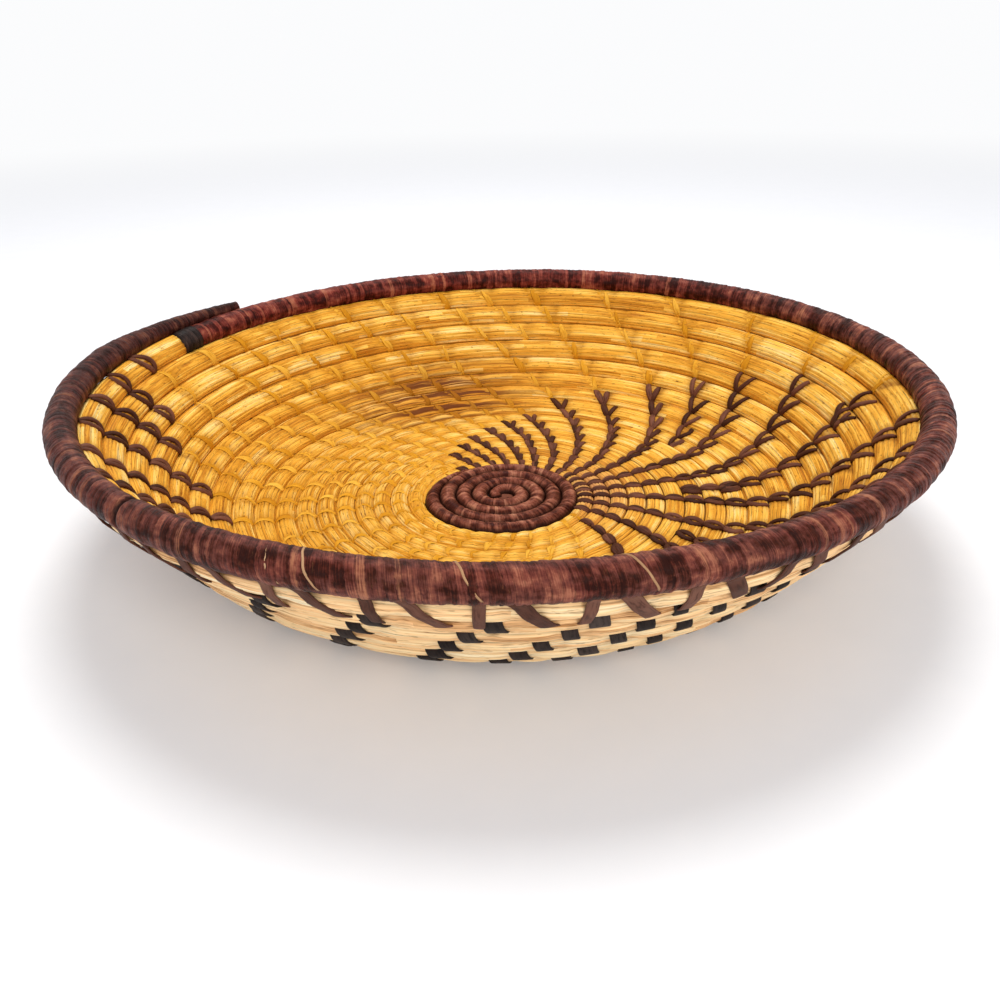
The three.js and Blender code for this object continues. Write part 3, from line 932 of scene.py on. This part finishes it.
class Finish:
    """The nodes of a new material, or of a world."""

    def __init__(self, name, world=None):
        self.owner = world or bpy.data.materials.new(name)
        self.owner.use_nodes = True
        self.tree = self.owner.node_tree
        self.shader = self.tree.nodes.get("Principled BSDF")

    def node(self, kind, settings=None, sockets=None, output=0):
        made = self.tree.nodes.new("ShaderNode" + kind)
        for key, value in (settings or {}).items():
            if key == "stops":
                while len(made.color_ramp.elements) < len(value):
                    made.color_ramp.elements.new(0.5)
                for stop, (place, colour) in zip(made.color_ramp.elements, value):
                    stop.position, stop.color = place, (*colour, 1)
            else:
                setattr(made, key, value)
        for key, value in (sockets or {}).items():
            self.feed(made.inputs[key], value)
        return Value(self, made.outputs[output])

    def feed(self, socket, value):
        if isinstance(value, Value):
            self.tree.links.new(value.socket, socket)
        elif isinstance(value, tuple) and len(value) == 3 and len(socket.default_value) == 4:
            socket.default_value = (*value, 1)
        else:
            socket.default_value = value

    def attribute(self, name):
        return self.node("Attribute", {"attribute_name": name}, output=2)

    def coil(self):
        """The length along the coil, the place round it, and how far it faces into the bowl."""
        coil = self.node("Attribute", {"attribute_name": "coil"}, output=1)
        return [self.node("SeparateXYZ", {}, {0: coil}, output=k) for k in range(3)]

    def vector(self, x, y, z):
        return self.node("CombineXYZ", {}, {0: x, 1: y, 2: z})

    def mix(self, factor, first, second):
        return self.node("Mix", {"data_type": "RGBA"}, {0: factor, 6: first, 7: second}, output=2)

    def ramp(self, factor, stops):
        return self.node("ValToRGB", {"stops": stops}, {0: factor})

    def noise(self, vector, scale, detail=2.0, roughness=0.5):
        sockets = {"Vector": vector, "Scale": scale, "Detail": detail, "Roughness": roughness}
        return self.node("TexNoise", {}, sockets)

    def grain(self, along, across, seed, detail=2.0, roughness=0.5):
        """Noise at a place along and across the coil, both already times their own scale."""
        return self.noise(self.vector(along, across, seed), 1.0, detail, roughness)

    def chance(self, x, y, z):
        return self.node("TexWhiteNoise", {"noise_dimensions": "3D"}, {"Vector": self.vector(x, y, z)})

    def seen(self):
        """1 for a ray from the camera, or one that a shiny or clear surface sends on."""
        camera_ray, glossy_ray, clear_ray = [self.node("LightPath", output=k) for k in (0, 3, 6)]
        return self.node("Math", {"operation": "MAXIMUM"}, {0: camera_ray, 1: glossy_ray + clear_ray})

    def done(self, colour, roughness, height, strength, distance, shine=None):
        """Feeds the shader, and returns the material."""
        self.feed(self.shader.inputs["Base Color"], colour)
        self.feed(self.shader.inputs["Roughness"], roughness)
        bump = self.node("Bump", {}, {"Strength": strength, "Distance": distance, "Height": height})
        self.feed(self.shader.inputs["Normal"], bump)
        if shine is not None:
            self.shader.inputs["Specular IOR Level"].default_value = shine
        return self.owner


def coat(finish, *pieces):
    for piece in pieces:
        piece.data.materials.append(finish)


# %% [markdown]
# ## Grass
#
# Dry grass stems are golden inside the bowl and beige outside. That is partly their own colour
# and partly painted light: warm light bounced round inside the bowl, and paler colours outside
# for the light on the outer wall. One stem differs from the next, so the finish counts stems
# across the row and gives each a chance tone that changes where one stem ends and another
# starts. The gaps between stems are dark, a painted shade. Fine fibres run along the stem as a
# bump. Over these lie other marks: a brown stain in the hollow at the back, partly painted
# shade; a patch of painted shade on the left of the floor; a pinkish one by the disc; dirt and
# painted shade beside the dark stitches; and painted shade in the grooves between rows.

# %% The grass finish
BLUSH_COLOUR = (0.60, 0.28, 0.13)
LEFT_FLOOR_SHADE_COLOUR = (0.56, 0.22, 0.006)
HOLLOW_STAIN_AND_SHADE_COLOUR, DARKEST_STREAK_COLOUR = (0.48, 0.14, 0.003), (0.10, 0.020, 0.002)
# Dirt and painted shade between the arms of the dark stitches
DIRT_AND_SHADE_COLOUR = (0.17, 0.045, 0.008)
STEM_LENGTH = 70


# The last colour is for dirt and painted shade where the stitches draw the grass in; dark is for marks, gaps
# between stems and painted shade
def grass_finish(name, inside_stops, outside_stops, dark, stain):
    finish = Finish(name)
    along, number, facing = finish.coil()
    across = number * 1.4
    drawn, ridge, swirl, hollow_stain_and_shade, worn = map(finish.attribute, ("drawn_in", "ridge", "swirl", "stain", "worn"))
    index = math.floor(number + finish.grain(along * 0.015, across * 0.2, 0.0, 1.0) * 0.5)
    piece = math.floor(along / STEM_LENGTH + finish.chance(index, 3.0, 7.0) * 9)
    tone = finish.chance(index, piece, 1.0)
    fibre = finish.grain(along * 0.06, across * 3.6, 0.0, 3.0, 0.6)
    patch = finish.grain(along * 0.04, across * 0.08, 2.0)
    tint = finish.grain(along * 0.02, across * 0.02, 5.0, 1.0)
    streak = finish.grain(along * 0.014, across * 0.55, 12.0, 3.0, 0.6)
    shade = tone * 0.34 + fibre * 0.95 + patch * 0.45 - 0.37
    # Golden inside and pale beige outside: partly the grass's own colour, partly painted light
    side = facing.range(-0.35, 0.35)
    colour = finish.mix(side, finish.ramp(shade, outside_stops), finish.ramp(shade, inside_stops)).under(
        # Where the stitches draw the grass in it is darker: dirt and painted shade in the pinch
        (drawn * side * (tint.range(0.35, 0.6) * 0.4 + 0.38), stain),
        (finish.attribute("blush") * 0.7, BLUSH_COLOUR),
        # Darker, deeper orange on the left of the floor: painted shade
        (worn * (0.3 + patch.range(0.4, 0.6) * 0.3), LEFT_FLOOR_SHADE_COLOUR),
        # A brown stain in the hollow at the back, partly painted shade, with darker streaks
        (hollow_stain_and_shade * (streak.range(0.3, 0.6) * 0.4 + 0.35), HOLLOW_STAIN_AND_SHADE_COLOUR),
        (hollow_stain_and_shade * streak.range(0.46, 0.56) * 0.92, DARKEST_STREAK_COLOUR),
        # Dirt and painted shade on the grass between the arms of dark stitches
        (finish.attribute("dirt") * 0.62, DIRT_AND_SHADE_COLOUR))
    low = ridge.range(0.0, 0.6, 1.0, 0.0)
    open_gap = finish.grain(along * 0.05, index * 1.7, 3.0, 1.0).range(0.4, 0.6)
    cracks = finish.grain(along * 0.16, across * 2.6, 9.0, 2.0, 0.7).range(0.58, 0.66)
    specks = finish.grain(along * 0.42, across * 1.5, 17.0, 2.0, 0.6).range(0.62, 0.70) * side
    # The grooves between rows are darkened: painted shade, stronger in the dark swirl and in the hollow's
    # stain
    flank = abs(facing).range(0.0, 0.55, 1.0, 0.0)
    row_edge = abs(facing).range(0.25, 0.8, 1.0, 0.0)
    # Dark gaps between stems, a painted shade; real cracks and specks; painted shade where the grass is drawn
    # in
    marks_and_shade = low * (0.14 + open_gap * 0.4) + cracks * 0.4 + specks * 0.55 + drawn * drawn * 0.18
    # Painted shade in the grooves between rows
    marks_and_shade = marks_and_shade + flank * (0.42 + swirl * 0.6 + hollow_stain_and_shade * 0.4)
    # Painted shade on the row edges in the net of dark stitches; in the left floor's painted shade, more
    # cracks and more shade in the gaps
    marks_and_shade = marks_and_shade + row_edge * finish.attribute("net") * 0.6 + worn * (cracks * 0.3 + low * open_gap * 0.25)
    colour = colour.under((finish.node("Math", {"operation": "MINIMUM"}, {0: marks_and_shade, 1: 0.9}), dark))
    height = fibre * 0.5 + tone * 0.2 - cracks * 0.5
    return finish.done(colour, 0.5 + fibre * 0.25, height, 0.5, 0.0004, shine=0.1)


straw = grass_finish(
    "golden_straw",
    # Inside colours, partly painted bounced light; outside colours made paler for light on the outer wall,
    # painted light
    [(0.22, (0.46, 0.155, 0.010)), (0.42, (0.84, 0.39, 0.034)),
     (0.6, (0.97, 0.555, 0.085)), (0.82, (1.0, 0.77, 0.31))],
    [(0.22, (0.50, 0.24, 0.085)), (0.4, (0.95, 0.57, 0.27)),
     (0.6, (1.0, 0.72, 0.38)), (0.85, (1.0, 0.88, 0.60))],
    # The colour of marks and painted shade, then that of dirt and painted shade where the grass is drawn in
    (0.15, 0.042, 0.004), (0.60, 0.24, 0.008))
coat(straw, base_rows, bend_rows, wall_rows, disc_bundle, rim_bundle)

# %% [markdown]
# ## Strips
#
# Strips of bast are smoother than grass and have fine lines along them. The dark ones are dyed
# red-brown; outside they are nearly black, partly their own colour and partly painted shade. The
# same recipe makes all of them from two or three colours, with chance tones from strip to strip.

# %% The strip finish
# Stitches in the hollow's stain are darkened too: stain and painted shade
STAIN_AND_SHADE_STRIP = (0.22, 0.06, 0.003)


def strip_finish(name, stops, line_dark, roughness):
    finish = Finish(name)
    along, across, _ = finish.coil()
    tone = finish.attribute("tone")
    fibre = finish.grain(along * 0.25, across * 4.0, tone * 8, 3.0, 0.65)
    broad = finish.grain(along * 0.1, across * 0.3, tone * 3)
    colour = finish.ramp(tone * 0.35 + fibre * 0.4 + broad * 0.4, stops).under(
        (fibre.range(0.34, 0.5, 1.0, 0.0) * 0.5, line_dark),
        (finish.attribute("stain") * 0.7, STAIN_AND_SHADE_STRIP))
    return finish.done(colour, roughness + fibre * 0.2, fibre, 0.5, 0.0003, shine=0.06)


# %% One finish for each kind of strip
coat(strip_finish(
    "dark_brown_bast",
    [(0.3, (0.030, 0.009, 0.004)), (0.55, (0.078, 0.024, 0.012)), (0.8, (0.19, 0.07, 0.04))],
    (0.015, 0.005, 0.003), 0.42), dark_stitches)
# Outer stitches: nearly black, partly their own colour and partly painted shade
coat(strip_finish(
    "charcoal_bast",
    [(0.3, (0.014, 0.010, 0.009)), (0.6, (0.032, 0.023, 0.020)), (0.85, (0.075, 0.055, 0.047))],
    (0.008, 0.006, 0.006), 0.45), black_stitches)
coat(strip_finish(
    "natural_bast",
    [(0.3, (0.48, 0.18, 0.006)), (0.55, (0.70, 0.31, 0.015)), (0.8, (0.88, 0.48, 0.06))],
    (0.42, 0.15, 0.006), 0.5), natural_stitches)
coat(strip_finish(
    "tucked_bast",
    [(0.3, (0.04, 0.010, 0.005)), (0.6, (0.12, 0.034, 0.018)), (0.85, (0.25, 0.085, 0.048))],
    (0.02, 0.006, 0.003), 0.42), tucked_ends)
coat(strip_finish(
    "beige_bast",
    [(0.3, (0.56, 0.32, 0.14)), (0.55, (0.82, 0.53, 0.27)), (0.8, (0.97, 0.70, 0.42))],
    (0.45, 0.25, 0.11), 0.5), pale_stitches)
coat(strip_finish(
    "rim_stitch_bast",
    [(0.3, (0.045, 0.017, 0.011)), (0.55, (0.105, 0.042, 0.028)), (0.85, (0.20, 0.09, 0.06))],
    (0.03, 0.012, 0.008), 0.45), long_stitches)
coat(strip_finish(
    "cream_strip",
    [(0.3, (0.30, 0.15, 0.07)), (0.6, (0.50, 0.29, 0.15)), (0.85, (0.66, 0.44, 0.26))],
    (0.2, 0.1, 0.05), 0.5), *pale_strips)
print("strip finishes made")

# %% [markdown]
# ## Windings
#
# The wound strip of the rim changes along its way: reddish over its first turns, at the back of
# the rim, partly its own colour and partly a painted sheen, brown and purple elsewhere, with a few
# tan turns. Its lines run across the coil. The edge of each turn is darker, because dirt and
# shade gather in the step. On the disc the grooves between the turns are darkened too, a painted
# shade, and towards its tail the rim darkens, partly its own colour and partly painted shade.


# %% The winding finish
def winding_finish(name, dull, warm, tan, edge_dark, warm_turns, tail_turns=(50.0, 51.0), painted_groove_shade=0.0):
    finish = Finish(name)
    along, across, facing = finish.coil()
    tone, edge, turn = map(finish.attribute, ("tone", "edge", "turn"))
    fibre = finish.grain(along * 3.2, across * 0.16, tone * 5, 4.0, 0.65)
    broad = finish.grain(along * 0.05, across * 0.12, 1.0)
    blotch = finish.grain(along * 0.35, across * 0.5, 4.0, 3.0, 0.6)
    stretch = finish.grain(along * 0.09, across * 0.2, 6.0)
    wear = finish.grain(along * 1.6, across * 0.4, 8.0, 3.0, 0.7)
    shade = tone * 0.26 + fibre * 0.6 + blotch * 0.6 + stretch * 0.8 - 0.63
    # Reddish over the first turns of a coil: on the rim these lie at the back, partly its own colour and
    # partly painted sheen
    reddish = turn.range(*warm_turns, 1.0, 0.0) * 0.7 + broad.range(0.4, 0.65) * 0.3
    colour = finish.ramp(shade, dull).under(
        (reddish, finish.ramp(shade, warm)),
        (tone.range(0.92, 0.97) * fibre.range(0.42, 0.6) * 0.25, tan),
        (wear.range(0.6, 0.75) * 0.16, tan),
        (fibre.range(0.3, 0.46, 1.0, 0.0) * 0.3, edge_dark),
        (edge.range(0.7, 1.0) * 0.5, edge_dark),
        # On the disc the grooves between the turns of the coil are darkened: painted shade
        (abs(facing).range(0.35, 0.97, 1.0, 0.0) * painted_groove_shade, edge_dark),
        # Darker towards the tail: partly the tail's own dark strip, partly painted shade on the left of the
        # rim
        (turn.range(*tail_turns) * 0.6, edge_dark),
        (edge.range(1.0, 1.5) * 0.95, edge_dark))
    return finish.done(colour, 0.3 + fibre * 0.2, fibre + blotch * 0.4, 0.5, 0.0004, shine=0.07)


# %% The rim's, the disc's and the binding's finish
rim_bast = winding_finish(
    "rim_bast",
    [(0.32, (0.022, 0.004, 0.002)), (0.42, (0.060, 0.013, 0.006)), (0.52, (0.105, 0.030, 0.023)),
     (0.62, (0.175, 0.052, 0.034)), (0.78, (0.35, 0.130, 0.075))],
    [(0.32, (0.028, 0.003, 0.002)), (0.42, (0.085, 0.010, 0.006)), (0.52, (0.16, 0.025, 0.018)),
     (0.62, (0.25, 0.048, 0.030)), (0.78, (0.40, 0.125, 0.075))],
    (0.46, 0.22, 0.09), (0.016, 0.005, 0.004),
    # Reddish first turns, partly painted sheen; darker from the front round the left to the tail, partly
    # painted shade
    (RIM_START + 0.22, RIM_START + 0.40), (RIM_END - 0.34, RIM_END - 0.04))
coat(rim_bast, rim_winding)
disc_bast = winding_finish(
    "disc_bast",
    [(0.32, (0.040, 0.005, 0.002)), (0.42, (0.09, 0.020, 0.009)), (0.52, (0.170, 0.045, 0.025)),
     (0.62, (0.27, 0.088, 0.052)), (0.78, (0.46, 0.19, 0.11))],
    [(0.32, (0.042, 0.004, 0.002)), (0.42, (0.10, 0.020, 0.009)), (0.52, (0.185, 0.046, 0.025)),
     (0.62, (0.29, 0.090, 0.053)), (0.78, (0.46, 0.18, 0.10))],
    # The disc's grooves between turns get painted shade
    (0.42, 0.24, 0.13), (0.016, 0.004, 0.002), (FIRST_TURN + 1.0, FIRST_TURN + 4.0), painted_groove_shade=0.95)
coat(disc_bast, disc_winding, start_curl)
charcoal = [(0.3, (0.012, 0.008, 0.007)), (0.5, (0.025, 0.015, 0.013)),
            (0.7, (0.045, 0.028, 0.024)), (0.9, (0.08, 0.052, 0.044))]
splice_bast = winding_finish(
    "splice_bast", charcoal, charcoal, (0.1, 0.07, 0.05), (0.008, 0.006, 0.005), (0.0, 1.0))
coat(splice_bast, splice_winding)
print("winding finishes made")

# %% [markdown]
# ## Floor, light and camera
#
# The bowl stands on a plain pale floor. Two large lamps, one above and behind it and one in
# front, and the pale world give soft light at a plain level. The world's light and the colour
# that the camera sees are two backgrounds, mixed by what kind of ray asks. The camera stands
# where the photograph was taken: its place, angles and focal length were fitted to the rim and
# the disc.

# %% Floor
FLOOR_HALF, FLOOR_UNDER = 40.0, 0.0002
BACKDROP = (0.97, 0.973, 0.982)
corners = [(-1, -1), (1, -1), (1, 1), (-1, 1)]
floor_mesh = bpy.data.meshes.new("floor")
floor_mesh.from_pydata([(FLOOR_HALF * x, FLOOR_HALF * y, 0) for x, y in corners], [], [(0, 1, 2, 3)])
floor = bpy.data.objects.new("floor", floor_mesh)
bpy.context.scene.collection.objects.link(floor)
floor.location.z = -FLOOR_UNDER
floor_finish = Finish("pale_floor")
floor_place = floor_finish.node("NewGeometry", output=0)
floor_grain = floor_finish.noise(floor_place, 60.0, 2.0)
floor_colour = floor_finish.mix(floor_grain, (0.86, 0.87, 0.89), (0.90, 0.905, 0.92))
coat(floor_finish.done(floor_colour, 0.7, floor_grain, 0.05, 0.0005), floor)

# %% The floor is seen paler than it is lit, and keeps the shadow
floor_away = floor_finish.node("VectorMath", {"operation": "LENGTH"}, {0: floor_place}, output=1)
paler = floor_finish.seen() * floor_away.range(0.35, 1.5, 0.12, 1.0)
lit = Value(floor_finish, floor_finish.shader.outputs[0])
glow = floor_finish.node("Emission", {}, {0: BACKDROP})
floor_look = floor_finish.node("MixShader", {}, {0: paler, 1: lit, 2: glow})
floor_finish.feed(floor_finish.tree.nodes["Material Output"].inputs[0], floor_look)

# %% World
world = bpy.data.worlds.new("pale_world")
bpy.context.scene.world = world
sky = Finish("pale_world", world)
sky.tree.nodes.clear()
lighting = sky.node("Background", {}, {0: (0.85, 0.88, 1.0), 1: 0.52})
backdrop = sky.node("Background", {}, {0: BACKDROP, 1: 1.0})
sky_look = sky.node("MixShader", {}, {0: sky.seen(), 1: lighting, 2: backdrop})
sky.feed(sky.tree.nodes.new("ShaderNodeOutputWorld").inputs[0], sky_look)


# %% Lamps
def lamp(name, place, target, size, power, colour):
    light = bpy.data.lights.new(name, "AREA")
    light.shape, light.size, light.energy, light.color = "DISK", size, power, colour
    holder = bpy.data.objects.new(name, light)
    holder.location = place
    holder.rotation_euler = (Vector(target) - Vector(place)).to_track_quat("-Z", "Y").to_euler()
    bpy.context.scene.collection.objects.link(holder)


lamp("window", (-0.05, 0.4, 1.2), (0, 0, 0.03), 0.6, 11.0, (1.0, 0.98, 0.94))
lamp("room", (0.25, -1.15, 0.85), (0, 0, 0.03), 0.8, 10.5, (1.0, 0.96, 0.88))

# %% Camera
CAMERA_PLACE = Vector((6.913, -317.472, 164.606)) / 1000
CAMERA_DOWN, CAMERA_TURN, CAMERA_ROLL = (math.radians(angle) for angle in (27.1, -1.297, -1.186))
FOCAL_PIXELS = 925
camera_data = bpy.data.cameras.new("camera")
camera_data.sensor_width = 36
camera_data.lens = camera_data.sensor_width * FOCAL_PIXELS / 1000
camera_data.clip_start = 0.01
camera = bpy.data.objects.new("camera", camera_data)
turned = Matrix.Rotation(-CAMERA_TURN, 4, "Z") @ Matrix.Rotation(math.pi / 2 - CAMERA_DOWN, 4, "X")
rolled = Matrix.Rotation(CAMERA_ROLL, 4, "Z")
camera.matrix_world = Matrix.Translation(CAMERA_PLACE) @ turned @ rolled
bpy.context.scene.collection.objects.link(camera)
bpy.context.scene.camera = camera
bpy.context.scene.view_settings.view_transform = "Standard"
print("camera at", [round(v, 3) for v in CAMERA_PLACE])
